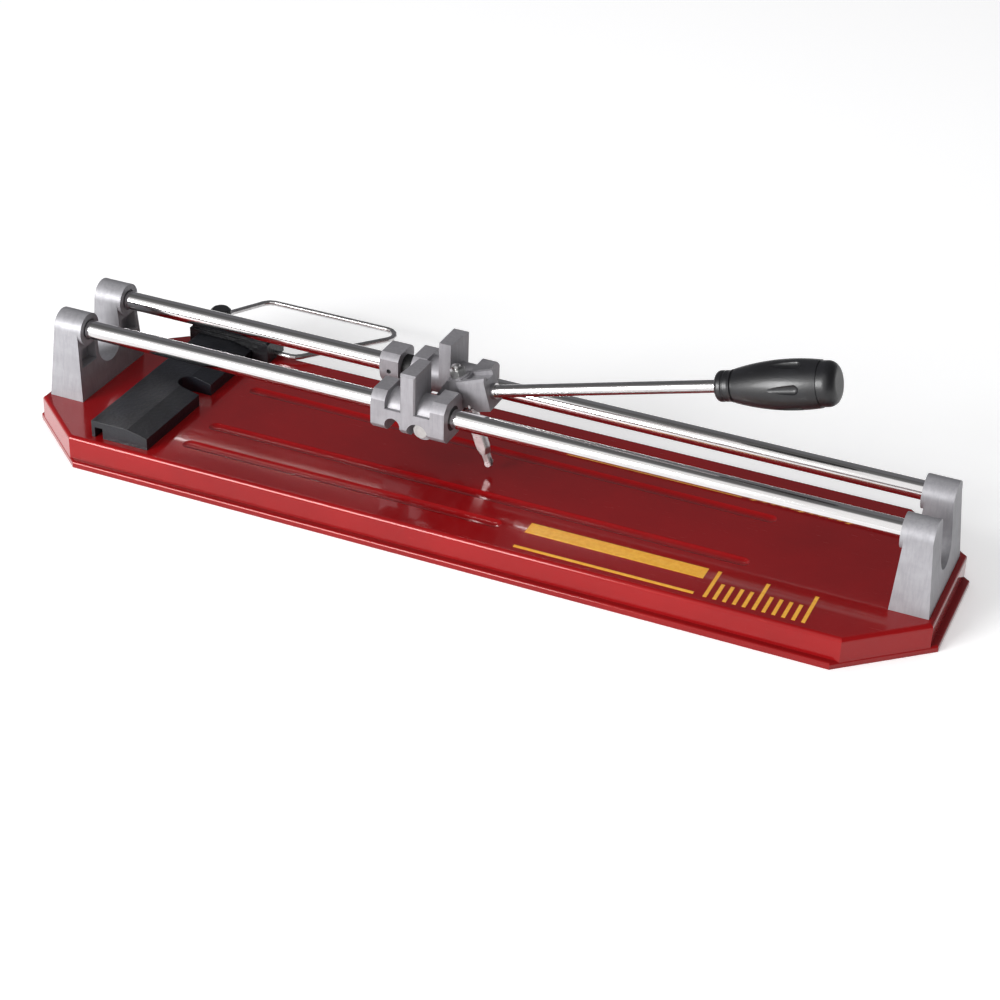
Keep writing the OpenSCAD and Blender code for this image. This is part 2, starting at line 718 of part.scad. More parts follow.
// The rear slider mirrors the front one, and carries an end ring on a low arm.
module rear_slider() {
  mid = ring_x + ring_len / 2;
  color([0.68, 0.67, 0.70])
  translate([carriage_x + rear_shift, 0, 0]) mirror([0, 1, 0]) {
    slider_body(pivot_fwd - rear_shift, true);
    difference() {
      union() {
        intersection() {
          ring_blank(ring_x, ring_x + ring_len, ring_d);
          translate([ring_x, -outer_y, rail_z]) cube([ring_len, slider_d, ring_d]);
        }
        translate([ring_x, -rail_y, rail_z]) rotate([0, 90, 0])
          cylinder(d = ring_d, h = ring_len);
        translate([ring_x + 2, -rail_y - ring_d / 2 + 2, rail_z - slider_r])
          cube([ring_len + ring_gap + 4, ring_d - 4, slider_r - bush_d / 2 + 2.5]);
      }
      translate([2 * ring_x, -rail_y, rail_z]) rotate([0, 90, 0])
        cylinder(d = bush_d - 2 * press_c, h = -2 * ring_x);
      translate([mid, -rail_y, rail_z]) rotate([-90, 0, 0])
        cylinder(d = peg_d - 2 * press_c, h = slider_d);
    }
  }
}

// One slide bush on the given rail, from x0 to x1.
module bush(x0, x1, y) {
  translate([x0, y, rail_z]) rotate([0, 90, 0]) difference() {
    cylinder(d = bush_d, h = x1 - x0);
    translate([0, 0, -1]) cylinder(d = rail_d + 2 * run_c, h = x1 - x0 + 2);
  }
}

module slide_bushes() {
  half = slider_len / 2;
  color([0.07, 0.07, 0.08]) {
    for (u = [-half, collar_in])
      bush(carriage_x + u, carriage_x + u + collar_len, -rail_y);
    bush(carriage_x + rear_shift + ring_x, carriage_x + rear_shift - collar_in, rail_y);
    bush(carriage_x + rear_shift + collar_in, carriage_x + rear_shift + half, rail_y);
  }
}

// The pegs that hold the left bush of each slider.
module bush_pegs() {
  color([0.10, 0.10, 0.11]) {
    translate([carriage_x - collar_in - collar_len / 2, -rail_y, rail_z]) rotate([-90, 0, 0])
      translate([0, 0, bush_d / 2 - 0.02]) cylinder(d = peg_d, h = slider_wall - 0.8);
    translate([carriage_x + rear_shift + ring_x + ring_len / 2, rail_y, rail_z])
      rotate([90, 0, 0]) translate([0, 0, bush_d / 2 - 0.02])
        cylinder(d = peg_d, h = ring_wall - 1.2);
  }
}

module pivot_bolt() {
  color([0.76, 0.76, 0.74])
  translate([pivot_x, 0, pivot_z]) rotate([90, 0, 0]) {
    translate([0, 0, -lug_y - bolt_head_h - 2.5]) cylinder(d = pivot_d, h = 2 * lug_y + 7);
    translate([0, 0, lug_y]) intersection() {
      hex(bolt_flats, bolt_head_h);
      cylinder(d1 = bolt_flats * 1.6, d2 = bolt_flats * 1.04, h = bolt_head_h);
    }
  }
}

module pivot_nut() {
  color([0.76, 0.76, 0.74])
  translate([pivot_x, lug_y, pivot_z]) rotate([-90, 0, 0]) difference() {
    hex(bolt_flats, bolt_head_h + 1);
    translate([0, 0, -1]) cylinder(d = pivot_d - 2 * press_c, h = 10);
  }
}

module thrust_washers() {
  color([0.72, 0.60, 0.32])
  for (s = [-1, 1])
    translate([pivot_x, s * (inner_y - washer_t / 2), pivot_z]) rotate([90, 0, 0])
      difference() {
        cylinder(d = lug_r * 2 - 2, h = washer_t, center = true);
        cylinder(d = pivot_d - 2 * press_c, h = 10, center = true);
      }
}

// ---------- lever ----------

module lever_head() {
  half = head_wid / 2;
  color([0.67, 0.66, 0.69])
  difference() {
    union() {
      at_lever() {
        rotate([90, 0, 0]) cylinder(r = lug_r, h = hub_w, center = true);
        intersection() {
          plate(head_wid, [[body_in + 1, head_low + 8], [head_reach - 10, head_low],
            [head_reach, head_low], [head_reach, head_top], [body_in - 2, head_top - 1.4]]);
          translate([0, 0, rod_up]) rotate([0, 90, 0]) linear_extrude(head_reach + 1)
            polygon([[head_top, -half], [2 - (head_top - rod_up), -half],
              [-(head_top - rod_up), 2 - half], [-(head_top - rod_up), half - 2],
              [2 - (head_top - rod_up), half], [head_top, half]]);
        }
        plate(arm_w, [[-5, 6.8], [stem_fwd - 7.4, boss_top - 1], [body_in + 1, boss_top - 0.2],
          [body_in + 6, head_low + 6], [6.4, -5.4]]);
      }
      at_stem() cylinder(d = arm_w, h = boss_top - rod_up);
    }
    at_lever() {
      rotate([90, 0, 0]) cylinder(d = pivot_d + 2 * run_c, h = 60, center = true);
      translate([rod_in, 0, rod_up]) rotate([0, 90, 0])
        cylinder(d = rod_d - 2 * press_c, h = head_reach);
      translate([body_in + 4, -half + 4.5, head_top - 3])
        cube([head_reach, head_wid - 9, 10]);
      translate([body_in + 10, half + 1, rod_up]) rotate([90, 0, 0])
        cylinder(d = 5 - 2 * press_c, h = half + 1);
    }
    at_stem() {
      translate([0, 0, -holder_len * 2]) cylinder(d = stem_d - 2 * press_c, h = holder_len * 4);
      translate([0, 0, boss_top - rod_up]) cylinder(d = nut_flats * 1.3, h = 12);
    }
  }
}

module lever_rod() {
  color([0.82, 0.82, 0.84])
  at_lever() translate([0, 0, rod_up]) rotate([0, 90, 0]) {
    translate([0, 0, rod_in + 0.6]) cylinder(d = rod_d, h = rod_out - rod_in - 1.2);
    translate([0, 0, rod_in]) cylinder(d1 = rod_d - 1.2, d2 = rod_d, h = 0.6);
    translate([0, 0, rod_out - 0.6]) cylinder(d1 = rod_d, d2 = rod_d - 1.2, h = 0.6);
    translate([0, 0, head_reach]) cylinder(d = rod_d + 2.4, h = 3);
  }
}

module rod_grub() {
  color([0.25, 0.25, 0.26])
  at_lever() translate([body_in + 10, 0, rod_up]) rotate([-90, 0, 0])
    translate([0, 0, rod_d / 2 - 0.02]) difference() {
      cylinder(d = 5, h = head_wid / 2 - rod_d / 2 - 0.6);
      translate([0, 0, 1.6]) hex(2.5, 10);
    }
}

// The grip's turned outline: neck, belly and the shoulder where the cap starts.
module grip_outline() {
  last = grip_len - cap_len;
  neck = grip_neck_d / 2;
  intersection() {
    translate([grip_r - belly_r, belly_at]) circle(r = belly_r, $fn = 360);
    translate([0, 8.5]) square([grip_r + 1, last - 8.5]);
  }
  translate([0, 3]) square([neck, 6.5]);
  square([neck - 3, 4]);
  translate([neck - 3, 3]) circle(r = 3, $fn = 48);
}

module grip() {
  color([0.06, 0.06, 0.07])
  at_lever() translate([grip_start, 0, rod_up]) rotate([0, 90, 0]) difference() {
    rotate_extrude($fn = 96) intersection() {
      grip_outline();
      square([grip_d, grip_len]);
    }
    translate([0, 0, -1]) cylinder(d = rod_d - 2 * press_c, h = rod_out - grip_start + 1);
    for (k = [0:2])
      translate([0, 0, 5.4 + 3.2 * k]) rotate_extrude($fn = 96)
        translate([grip_neck_d / 2 + 0.5, 0]) circle(r = 1, $fn = 24);
    for (k = [0:5]) rotate([0, 0, 60 * k + 18])
      translate([grip_r + 2.2, 0, belly_at - 16]) {
        cylinder(r1 = 2.6, r2 = 4.2, h = 20, $fn = 32);
        sphere(r = 2.6, $fn = 32);
        translate([0, 0, 20]) sphere(r = 4.2, $fn = 32);
      }
    translate([0, 0, rod_out - grip_start - eps])
      cylinder(d = rod_d, h = grip_len - rod_out + grip_start);
  }
}

module grip_cap() {
  round_r = 7;
  color([0.08, 0.08, 0.09])
  at_lever() translate([grip_start + grip_len - cap_len, 0, rod_up]) rotate([0, 90, 0]) {
    rotate_extrude($fn = 96) intersection() {
      union() {
        square([cap_r - 0.6, cap_len - round_r]);
        square([cap_r - 0.6 - round_r, cap_len]);
        translate([cap_r - 0.6 - round_r, cap_len - round_r]) circle(r = round_r, $fn = 64);
      }
      square([grip_d, grip_len]);
    }
    translate([0, 0, -5]) cylinder(d = rod_d + 2 * press_c, h = 5 + eps);
  }
}

module scoring_stem() {
  top = boss_top - rod_up + nut_h + 3;
  foot = stem_foot - fork_len;
  color([0.74, 0.74, 0.75])
  difference() {
    union() {
      at_stem() {
        translate([0, 0, -foot + 2]) cylinder(d = stem_d, h = top + foot - 2.8);
        translate([0, 0, top - 0.8]) cylinder(d1 = stem_d, d2 = stem_d - 1.6, h = 0.8);
      }
      at_wheel() {
        translate([0, 0, fork_len]) intersection() {
          cylinder(d = holder_d, h = holder_len);
          cube([holder_d, holder_flat, 2 * holder_len], center = true);
          union() {
            cylinder(d1 = holder_flat, d2 = holder_d, h = 5);
            translate([0, 0, 5]) cylinder(d = holder_d, h = holder_len - 5);
          }
        }
        intersection() {
          cylinder(d = 6, h = fork_len + 1);
          cube([4.6, 5, 4 * fork_len], center = true);
        }
        rotate([90, 0, 0]) cylinder(d = 4.6, h = 5, center = true);
      }
    }
    at_wheel() {
      translate([-holder_d, -wheel_t / 2 - 0.3, -holder_d])
        cube([2 * holder_d, wheel_t + 0.6, holder_d + wheel_d / 2 + 0.5]);
      rotate([90, 0, 0]) cylinder(d = axle_d - 2 * press_c, h = 20, center = true);
    }
  }
}

module stem_nut() {
  color([0.78, 0.78, 0.77])
  at_stem() translate([0, 0, boss_top - rod_up]) difference() {
    intersection() {
      hex(nut_flats, nut_h);
      cylinder(d1 = nut_flats * 1.6, d2 = nut_flats * 1.05, h = nut_h);
    }
    translate([0, 0, -1]) cylinder(d = stem_d - 2 * press_c, h = 10);
  }
}

module wheel_axle() {
  color([0.55, 0.55, 0.56])
  at_wheel() rotate([90, 0, 0]) cylinder(d = axle_d, h = 5, center = true, $fn = 32);
}

module scoring_wheel() {
  edge = 0.2;
  color([0.60, 0.60, 0.62])
  at_wheel() rotate([90, 0, 0]) difference() {
    union() {
      cylinder(d = wheel_d - wheel_t, h = wheel_t, center = true);
      for (s = [-1, 1]) mirror([0, 0, s > 0 ? 0 : 1]) translate([0, 0, -eps])
        cylinder(d1 = wheel_d, d2 = wheel_d - wheel_t + edge, h = wheel_t / 2 + eps);
    }
    cylinder(d = axle_d + 2 * run_c, h = 5, center = true, $fn = 32);
  }
}

// ---------- label ----------

// A plain label on the bed: two bars and a row of measuring ticks, without words.
module bed_label() {
  color([0.92, 0.65, 0.18])
  translate([label_x, -top_wid / 2 + label_in, bed_h]) {
    cube([bar_len, rule_wid, label_t]);
    translate([0, label_wid - bar_wid, 0]) cube([bar_len, bar_wid, label_t]);
    for (k = [0:ticks - 1])
      translate([bar_len + tick_pitch * (k + 1), 0, 0])
        cube([tick_t, k % 5 == 0 ? label_wid : tick_len, label_t]);
  }
}

// ---------- placed parts ----------

bed_tray();
left_bracket();
right_bracket();
bracket_screws();
bracket_washers();
front_rail();
rear_rail();
rail_grubs();
fence_bar();
fence_screws();
gauge_block();
gauge_wire();
gauge_wire_grub();
gauge_knob();
front_slider();
rear_slider();
slide_bushes();
bush_pegs();
pivot_bolt();
pivot_nut();
thrust_washers();
lever_head();
lever_rod();
rod_grub();
grip();
grip_cap();
scoring_stem();
stem_nut();
wheel_axle();
scoring_wheel();
bed_label();
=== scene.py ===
"""Looks of the tile cutter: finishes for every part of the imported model, a few finer
pieces, a plain studio and the camera. Lengths are in metres."""
import json
import math

import bmesh
import bpy
from mathutils import Matrix, Vector


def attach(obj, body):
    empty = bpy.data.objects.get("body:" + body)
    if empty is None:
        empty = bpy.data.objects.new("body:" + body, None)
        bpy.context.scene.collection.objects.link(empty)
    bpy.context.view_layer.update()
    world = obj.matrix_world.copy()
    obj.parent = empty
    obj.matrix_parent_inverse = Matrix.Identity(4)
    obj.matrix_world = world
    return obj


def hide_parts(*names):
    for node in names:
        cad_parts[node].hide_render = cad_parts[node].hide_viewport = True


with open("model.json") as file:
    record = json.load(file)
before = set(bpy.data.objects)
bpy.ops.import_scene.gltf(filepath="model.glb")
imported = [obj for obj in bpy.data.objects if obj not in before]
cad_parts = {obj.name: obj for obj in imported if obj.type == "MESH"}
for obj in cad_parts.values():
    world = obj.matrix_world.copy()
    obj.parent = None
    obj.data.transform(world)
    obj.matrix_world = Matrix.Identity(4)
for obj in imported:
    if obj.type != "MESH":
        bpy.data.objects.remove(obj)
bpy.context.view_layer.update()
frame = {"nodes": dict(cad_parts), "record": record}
nodes = frame["nodes"]
MM = 0.001


# ---------------------------------------------------------------- shader maths

# Places of a Mix node's colour sockets among its inputs and outputs
MIX_AMOUNT, MIX_FIRST, MIX_SECOND, MIX_COLOUR = 0, 6, 7, 2


class Val:
    """A number in a material. Arithmetic on it adds Math nodes."""

    def __init__(self, finish, socket):
        self.finish, self.socket = finish, socket

    def math(self, operation, other):
        made = self.finish.node("ShaderNodeMath", {"operation": operation}, {0: self, 1: other})
        return Val(self.finish, made.outputs[0])

    def __add__(self, other):
        return self.math("ADD", other)

    def __sub__(self, other):
        return self.math("SUBTRACT", other)

    def __mul__(self, other):
        return self.math("MULTIPLY", other)

    def __rsub__(self, other):
        return (self * -1.0) + other

    __radd__ = __add__
    __rmul__ = __mul__

    def clamped(self):
        made = self.finish.node("ShaderNodeClamp", None, {"Value": self})
        return Val(self.finish, made.outputs[0])


class Finish:
    """One material: its nodes, made by plain calls."""

    def __init__(self, name):
        self.material = bpy.data.materials.new(name)
        self.material.use_nodes = True
        self.tree = self.material.node_tree
        self.tree.nodes.clear()
        self.place = self.node("ShaderNodeTexCoord").outputs["Object"]

    def feed(self, slot, given):
        """Links or sets one socket."""
        if isinstance(given, Val):
            self.tree.links.new(given.socket, slot)
        elif isinstance(given, bpy.types.NodeSocket):
            self.tree.links.new(given, slot)
        else:
            slot.default_value = given

    def node(self, kind, settings=None, values=None):
        """Any node: its type, its settings, then the values or links of its sockets."""
        made = self.tree.nodes.new(kind)
        for key, given in (settings or {}).items():
            setattr(made, key, given)
        for key, given in (values or {}).items():
            self.feed(made.inputs[key], given)
        return made

    def moved(self, scale, turn=(0, 0, 0)):
        """The Object coordinates, stretched and turned."""
        return self.node("ShaderNodeMapping", None, {
            "Vector": self.place, "Scale": scale, "Rotation": turn,
        }).outputs["Vector"]

    def noise(self, scale, detail=3.0, rough=0.5, where=None):
        made = self.node("ShaderNodeTexNoise", None, {
            "Vector": where or self.place, "Scale": scale, "Detail": detail,
            "Roughness": rough,
        })
        return Val(self, made.outputs["Fac"])

    def cells(self, scale):
        made = self.node("ShaderNodeTexVoronoi", None, {"Vector": self.place, "Scale": scale})
        return Val(self, made.outputs["Distance"])

    def axis(self, name):
        """One Object coordinate as a number."""
        made = self.node("ShaderNodeSeparateXYZ", None, {"Vector": self.place})
        return Val(self, made.outputs[name])

    def band(self, value, low, high, to_low=0.0, to_high=1.0):
        """value taken from low..high to to_low..to_high, smoothly and held at the ends."""
        made = self.node("ShaderNodeMapRange", {"interpolation_type": "SMOOTHSTEP"}, {
            "Value": value, "From Min": low, "From Max": high,
            "To Min": to_low, "To Max": to_high,
        })
        return Val(self, made.outputs[0])

    def blend(self, amount, first, second):
        """A colour between two colours."""
        made = self.node("ShaderNodeMix", {"data_type": "RGBA"})
        self.feed(made.inputs[MIX_AMOUNT], amount)
        self.feed(made.inputs[MIX_FIRST], first)
        self.feed(made.inputs[MIX_SECOND], second)
        return made.outputs[MIX_COLOUR]

    def bump(self, height, distance, strength, under=None):
        values = {"Height": height, "Distance": distance, "Strength": strength}
        if under is not None:
            values["Normal"] = under
        return self.node("ShaderNodeBump", None, values).outputs["Normal"]

    def surface(self, **sockets):
        """The shader, with its sockets named as words joined by underscores."""
        shader = self.node("ShaderNodeBsdfPrincipled")
        for key, given in sockets.items():
            self.feed(shader.inputs[key.replace("_", " ")], given)
        out = self.node("ShaderNodeOutputMaterial")
        self.tree.links.new(shader.outputs[0], out.inputs["Surface"])
        return self.material


def rgb(red, green, blue):
    """A colour from its ordinary screen values of 0 to 255, as the shader wants it."""
    line = [v / 255 for v in (red, green, blue)]
    return (*(v / 12.92 if v <= 0.04045 else ((v + 0.055) / 1.055) ** 2.4 for v in line), 1.0)


# ---------------------------------------------------------------- finishes

def red_paint():
    """Gloss red enamel on pressed sheet: faint orange peel, dust, fine scuffs and painted shade
    darkening the bottom of the skirt.
    """
    f = Finish("red_enamel")
    cloud = f.noise(9.0, detail=4.0, rough=0.55)
    drift = f.noise(46.0, detail=3.0, rough=0.5)
    dust = f.band(f.noise(900.0, detail=2.0, rough=0.6), 0.66, 0.80)
    scuff = f.noise(60.0, detail=5.0, rough=0.65,
                    where=f.moved(scale=(1.0, 14.0, 6.0), turn=(0.0, 0.0, 0.35)))
    scuffs = f.band(scuff, 0.60, 0.74)
    # low: painted shade, the colour darkened towards the bottom edge of the skirt near the floor
    low = f.band(f.axis("Z"), 0.001, 0.008, 1.0, 0.0)
    deep = f.blend(f.band(cloud, 0.3, 0.7), rgb(120, 10, 14), rgb(136, 12, 16))
    warm = f.blend(drift * 0.25, deep, rgb(156, 16, 18))
    worn = f.blend(scuffs * 0.06, warm, rgb(170, 60, 56))
    # dark dust specks plus the painted shade of the low mask at the skirt's foot
    dust_and_foot_shade = f.blend(dust * 0.12 + low * 0.18, worn, rgb(60, 14, 16))
    peel = f.noise(420.0, detail=2.0, rough=0.5)
    wave = f.noise(60.0, detail=1.0, rough=0.4)
    normal = f.bump(peel * 0.7 + wave * 1.4, distance=0.00006, strength=0.35)
    return f.surface(
        Base_Color=dust_and_foot_shade, Roughness=(cloud * 0.08 + scuffs * 0.12 + dust * 0.15 + 0.15),
        Normal=normal, Coat_Weight=0.55, Coat_Roughness=0.05, Specular_IOR_Level=0.32,
        Specular_Tint=rgb(255, 120, 110),
    )


def cast_aluminium(name, tint, grain):
    """Satin die casting: shot-blast grain, soft flow marks, brushed streaks, stains and pits."""
    f = Finish(name)
    sand = f.noise(2600.0, detail=3.0, rough=0.6)
    flow = f.noise(38.0, detail=4.0, rough=0.55, where=f.moved(scale=(1.0, 1.0, 2.2)))
    stain = f.noise(120.0, detail=4.0, rough=0.6)
    pits = f.band(f.cells(700.0), 0.0, 0.16, 1.0, 0.0)
    pit_places = f.band(f.noise(160.0, detail=2.0, rough=0.5), 0.55, 0.7)
    pale = tuple(min(1.0, c * 1.16) for c in tint[:3]) + (1.0,)
    dark = tuple(c * 0.72 for c in tint[:3]) + (1.0,)
    brush = f.noise(430.0, detail=4.0, rough=0.65,
                    where=f.moved(scale=(1.0, 1.0, 0.16), turn=(0.0, 0.12, 0.0)))
    colour = f.blend(f.band(flow, 0.3, 0.7), tint, pale)
    colour = f.blend(f.band(brush, 0.38, 0.66) * 0.34, colour, dark)
    colour = f.blend(f.band(stain, 0.55, 0.8) * 0.35, colour, dark)
    colour = f.blend(pits * pit_places * 0.5, colour, rgb(80, 78, 80))
    fine = f.bump(sand + flow * 1.5, distance=0.00005 * grain, strength=0.6)
    normal = f.bump(pits * pit_places * -1.0, distance=0.00012, strength=0.6, under=fine)
    return f.surface(
        Base_Color=colour, Metallic=0.35, Normal=normal,
        Roughness=(sand * 0.12 + stain * 0.14 + brush * 0.10 + 0.30).clamped(),
    )


def chrome_rail():
    """Ground and polished bar: fine lines along it, faint smears and small specks."""
    f = Finish("polished_rail")
    lines = f.noise(1500.0, detail=2.0, rough=0.5, where=f.moved(scale=(0.02, 1.0, 1.0)))
    smear = f.noise(28.0, detail=4.0, rough=0.6, where=f.moved(scale=(0.35, 3.0, 3.0)))
    specks = f.band(f.noise(700.0, detail=2.0, rough=0.6), 0.70, 0.80)
    colour = f.blend(f.band(smear, 0.45, 0.7) * 0.5, rgb(230, 228, 228), rgb(196, 192, 190))
    colour = f.blend(specks * 0.25, colour, rgb(120, 112, 106))
    return f.surface(
        Base_Color=colour, Metallic=1.0,
        Normal=f.bump(lines, distance=0.00002, strength=0.25),
        Roughness=(lines * 0.05 + f.band(smear, 0.4, 0.8) * 0.10 + specks * 0.2 + 0.07),
    )


def bright_steel(name, tint, rough, pitch):
    """Plated or turned steel: thin tool lines, a slight haze and small nicks."""
    f = Finish(name)
    lines = f.noise(pitch, detail=2.0, rough=0.5,
                    where=f.moved(scale=(0.15, 1.0, 1.0), turn=(0.0, 0.4, 0.0)))
    haze = f.noise(150.0, detail=4.0, rough=0.6)
    nicks = f.band(f.cells(420.0), 0.0, 0.10, 1.0, 0.0) * f.band(f.noise(90.0), 0.5, 0.65)
    dull = tuple(c * 0.66 for c in tint[:3]) + (1.0,)
    colour = f.blend(f.band(haze, 0.4, 0.75) * 0.6, tint, dull)
    colour = f.blend(nicks * 0.5, colour, rgb(90, 84, 78))
    return f.surface(
        Base_Color=colour, Metallic=1.0,
        Normal=f.bump(lines * 0.7 + nicks * -1.0, distance=0.00004, strength=0.4),
        Roughness=(haze * 0.16 + lines * 0.08 + nicks * 0.2 + rough).clamped(),
    )


def black_moulding(name, base, worn, rough, grain_pitch, grain_depth, coat=0.0):
    """Moulded plastic: a sparked grain, paler rubbed patches, fine dust and scratches."""
    f = Finish(name)
    grain = f.noise(grain_pitch, detail=3.0, rough=0.6)
    leather = f.cells(grain_pitch * 0.6)
    rubbed = f.noise(34.0, detail=5.0, rough=0.6)
    dust = f.band(f.noise(1300.0, detail=2.0, rough=0.6), 0.67, 0.78)
    scratch = f.band(f.noise(80.0, detail=4.0, rough=0.7,
                             where=f.moved(scale=(1.0, 9.0, 3.0), turn=(0.0, 0.0, 0.8))), 0.64, 0.74)
    colour = f.blend(f.band(rubbed, 0.35, 0.75), base, worn)
    colour = f.blend(dust * 0.22 + scratch * 0.14, colour, rgb(118, 116, 116))
    normal = f.bump(grain * 0.6 + leather, distance=grain_depth, strength=0.7)
    return f.surface(
        Base_Color=colour, Normal=normal, Coat_Weight=coat, Coat_Roughness=0.12,
        Roughness=(grain * 0.14 + f.band(rubbed, 0.3, 0.8) * -0.10 + scratch * 0.12 + rough).clamped(),
    )


def bronze_washer():
    """Sintered bronze: open grain and oily darker spots."""
    f = Finish("sintered_bronze")
    grain = f.noise(1600.0, detail=3.0, rough=0.6)
    oil = f.noise(240.0, detail=4.0, rough=0.6)
    pores = f.band(f.cells(1500.0), 0.0, 0.2, 1.0, 0.0)
    colour = f.blend(f.band(oil, 0.35, 0.7), rgb(176, 132, 74), rgb(120, 84, 44))
    colour = f.blend(pores * 0.5, colour, rgb(60, 42, 26))
    return f.surface(
        Base_Color=colour, Metallic=0.9,
        Normal=f.bump(grain - pores, distance=0.00005, strength=0.7),
        Roughness=(grain * 0.2 + oil * -0.12 + 0.42).clamped(),
    )


def carbide():
    """Ground tungsten carbide: mid grey, with fine grinding marks and a slight haze."""
    f = Finish("ground_carbide")
    lines = f.noise(5200.0, detail=2.0, rough=0.5)
    haze = f.noise(900.0, detail=3.0, rough=0.6)
    colour = f.blend(f.band(haze, 0.35, 0.7), rgb(122, 122, 128), rgb(164, 164, 168))
    return f.surface(
        Base_Color=colour, Metallic=1.0,
        Normal=f.bump(lines, distance=0.00002, strength=0.5),
        Roughness=(lines * 0.12 + haze * 0.1 + 0.2),
    )


def label_ink():
    """Screen-printed yellow ink: slightly uneven cover with pinholes."""
    f = Finish("yellow_ink")
    cover = f.noise(300.0, detail=4.0, rough=0.6)
    holes = f.band(f.noise(1500.0, detail=2.0, rough=0.6), 0.68, 0.76)
    colour = f.blend(f.band(cover, 0.3, 0.7), rgb(232, 164, 44), rgb(244, 184, 66))
    colour = f.blend(holes * 0.6, colour, rgb(150, 40, 22))
    return f.surface(
        Base_Color=colour, Normal=f.bump(cover - holes, distance=0.00003, strength=0.5),
        Roughness=(cover * 0.15 + holes * 0.2 + 0.34), Coat_Weight=0.2, Coat_Roughness=0.15,
    )


FINISHES = {
    "bed_tray": red_paint(),
    "bracket_casting": cast_aluminium("bracket_cast", rgb(150, 149, 153), grain=1.0),
    "carriage_casting": cast_aluminium("carriage_cast", rgb(146, 144, 148), grain=0.8),
    "rail_chrome": chrome_rail(),
    "rod_steel": bright_steel("plated_rod", rgb(214, 212, 212), rough=0.10, pitch=1400.0),
    "steel_bright": bright_steel("zinc_plate", rgb(206, 206, 204), rough=0.20, pitch=1800.0),
    "stem_steel": bright_steel("turned_stem", rgb(202, 200, 200), rough=0.17, pitch=2600.0),
    "steel_black": bright_steel("black_oxide", rgb(66, 66, 70), rough=0.36, pitch=1500.0),
    "fence_plastic": black_moulding("fence_moulding", rgb(17, 18, 23), rgb(27, 29, 35),
                                    rough=0.34, grain_pitch=620.0, grain_depth=0.00022),
    "gauge_plastic": black_moulding("gauge_moulding", rgb(14, 15, 18), rgb(25, 26, 30),
                                    rough=0.36, grain_pitch=520.0, grain_depth=0.00032),
    "knob_plastic": black_moulding("knob_moulding", rgb(20, 20, 22), rgb(34, 34, 37),
                                   rough=0.34, grain_pitch=2000.0, grain_depth=0.00003, coat=0.2),
    "grip_plastic": black_moulding("grip_moulding", rgb(16, 16, 18), rgb(30, 30, 33),
                                   rough=0.36, grain_pitch=1300.0, grain_depth=0.00005, coat=0.12),
    "bush_plastic": black_moulding("bush_moulding", rgb(17, 17, 18), rgb(30, 30, 32),
                                   rough=0.55, grain_pitch=2400.0, grain_depth=0.00003),
    "bronze": bronze_washer(),
    "carbide": carbide(),
    "label_ink": label_ink(),
}
record = frame["record"]
slot_of = {s["node"]: s["material_slot"] for s in record["subparts"]}
body_of = {n: body for body, held in record["behaviour"]["bodies"].items() for n in held}


def dress(piece, slot):
    """Gives a piece the finish of a material slot, on all its slots."""
    if not piece.data.materials:
        piece.data.materials.append(FINISHES[slot])
    for i in range(len(piece.data.materials)):
        piece.data.materials[i] = FINISHES[slot]


for name, node in nodes.items():
    dress(node, slot_of[name])


# ---------------------------------------------------------------- finer pieces

MERGE = 0.000002  # corners nearer than this become one
FLAT = math.radians(0.4)  # faces that meet flatter than this become one
CREASE = math.radians(26)  # an edge sharper than this is a hard edge
SHALLOW = {"fence_bar": math.radians(11)}  # its slope meets its flat at a small angle
ROUND_STEPS = 2  # faces across a rounded edge


def placed(bm, name, node):
    """A new piece that stands for a CAD node: its finish, its body and its slot."""
    bmesh.ops.recalc_face_normals(bm, faces=bm.faces)
    mesh = bpy.data.meshes.new(name)
    bm.to_mesh(mesh)
    bm.free()
    mesh.shade_smooth()
    mesh.set_sharp_from_angle(angle=SHALLOW.get(node, CREASE))
    piece = bpy.data.objects.new(name, mesh)
    bpy.context.scene.collection.objects.link(piece)
    even = piece.modifiers.new("even", "WEIGHTED_NORMAL")
    even.keep_sharp = True
    ready = piece.evaluated_get(bpy.context.evaluated_depsgraph_get())
    piece.data = bpy.data.meshes.new_from_object(ready)
    piece.modifiers.clear()
    dress(piece, slot_of[node])
    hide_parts(node)
    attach(piece, body_of[node])
    return piece


def softened(node, width):
    """A CAD node with its hard edges rounded over to the given width."""
    bm = bmesh.new()
    bm.from_mesh(nodes[node].data)
    bm.transform(nodes[node].matrix_world)
    bmesh.ops.remove_doubles(bm, verts=bm.verts, dist=MERGE)
    bmesh.ops.dissolve_limit(bm, angle_limit=FLAT, verts=bm.verts, edges=bm.edges)
    crease = SHALLOW.get(node, CREASE)
    hard = [e for e in bm.edges if len(e.link_faces) == 2 and e.calc_face_angle(0.0) > crease]
    bmesh.ops.bevel(
        bm, geom=hard, offset=width, offset_type="OFFSET", segments=ROUND_STEPS, profile=0.5,
        affect="EDGES", material=-1, clamp_overlap=True, loop_slide=True,
    )
    return placed(bm, node + "_rounded", node)


# Width of the rounding on each node's hard edges, in millimetres
ROUNDED = {
    "left_bracket": 0.8, "right_bracket": 0.8, "front_slider": 0.6, "rear_slider": 0.6,
    "lever_head": 0.7, "fence_bar": 0.5, "gauge_block": 0.5, "pivot_bolt": 0.35,
    "pivot_nut": 0.35, "stem_nut": 0.35, "scoring_stem": 0.15, "gauge_knob": 0.4,
}
for node, width in ROUNDED.items():
    softened(node, width * MM)


# ---------------------------------------------------------------- studio

SOFTBOX = (-0.10, -0.86, 0.50)  # the way to the bright part of the sky
# The sky's grey by how nearly it faces the softbox: 0 is square to it, 1 is its middle
SKY_SQUARE, SKY_MIDDLE = (0.16, 0.16, 0.17, 1), (1.0, 1.0, 1.0, 1)
SKY_LEVELS = ((0.30, 0.10), (0.74, 0.18), (0.86, 1.0))
FLOOR_HALF = 30.0
FLOOR_GLOW = 0.30
